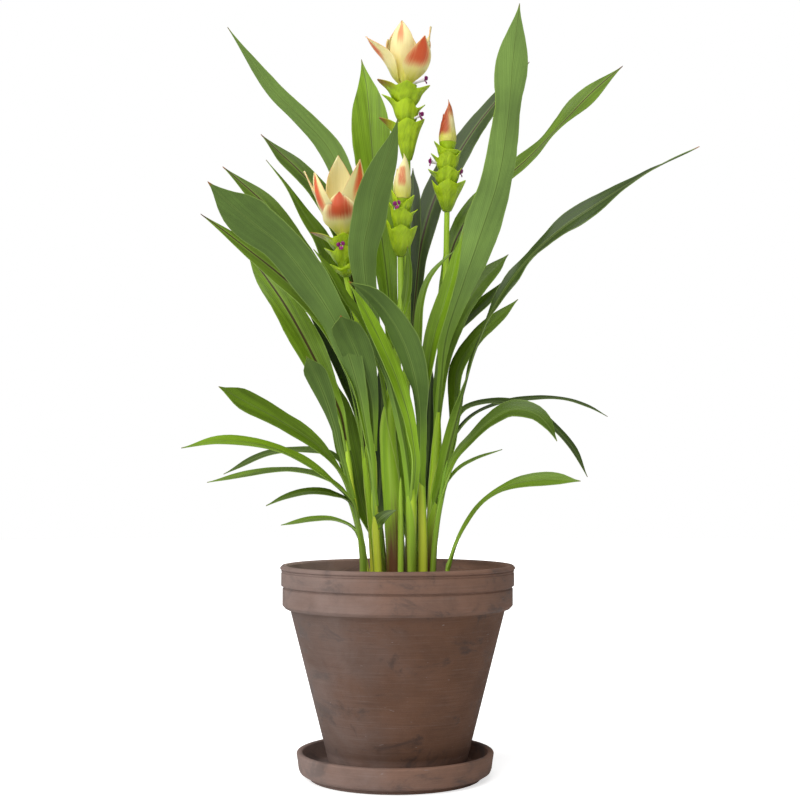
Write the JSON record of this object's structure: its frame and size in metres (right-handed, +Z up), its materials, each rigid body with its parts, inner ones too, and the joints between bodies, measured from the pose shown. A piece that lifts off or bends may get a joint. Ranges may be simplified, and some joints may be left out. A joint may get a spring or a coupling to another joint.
{
  "type": "potted siam tulip",
  "caption": "Flowering siam tulip with long lance-shaped leaves and pale crowned blooms, standing in a clay pot on a clay saucer.",
  "frame": {"origin": "middle of the saucer's flat underside, on the surface that the potted plant stands on", "axes": "+Z up along the plant, which is the longest way; the side shown in the picture faces -Y; +X is to the right of a viewer who looks at that side"},
  "size_m": [0.3594, 0.2171, 0.5534],
  "materials": {
    "clay": "matte",
    "soil": "matte",
    "leaf": "satin",
    "green_bract": "satin",
    "pale_bract": "satin"
  },
  "bodies": {
    "root": {"saucer": "clay", "pot": "clay", "soil": "soil", "stem_low_left": "leaf", "stem_left": "leaf", "stem_broad": "leaf", "stem_left_bloom": "leaf", "stem_centre": "leaf", "stem_top_bloom": "leaf", "stem_front": "leaf", "stem_bright": "leaf", "stem_right": "leaf", "stem_back": "leaf", "stem_back_left": "leaf", "stem_low_right": "leaf", "stem_low_curved": "leaf", "stem_spear": "leaf", "bloom_top_green_bracts": "green_bract", "bloom_top_crown": "pale_bract", "bloom_left_green_bracts": "green_bract", "bloom_left_crown": "pale_bract", "bloom_middle_green_bracts": "green_bract", "bloom_middle_crown": "pale_bract", "bloom_right_green_bracts": "green_bract", "bloom_right_crown": "pale_bract"}
  },
  "joints": []
}
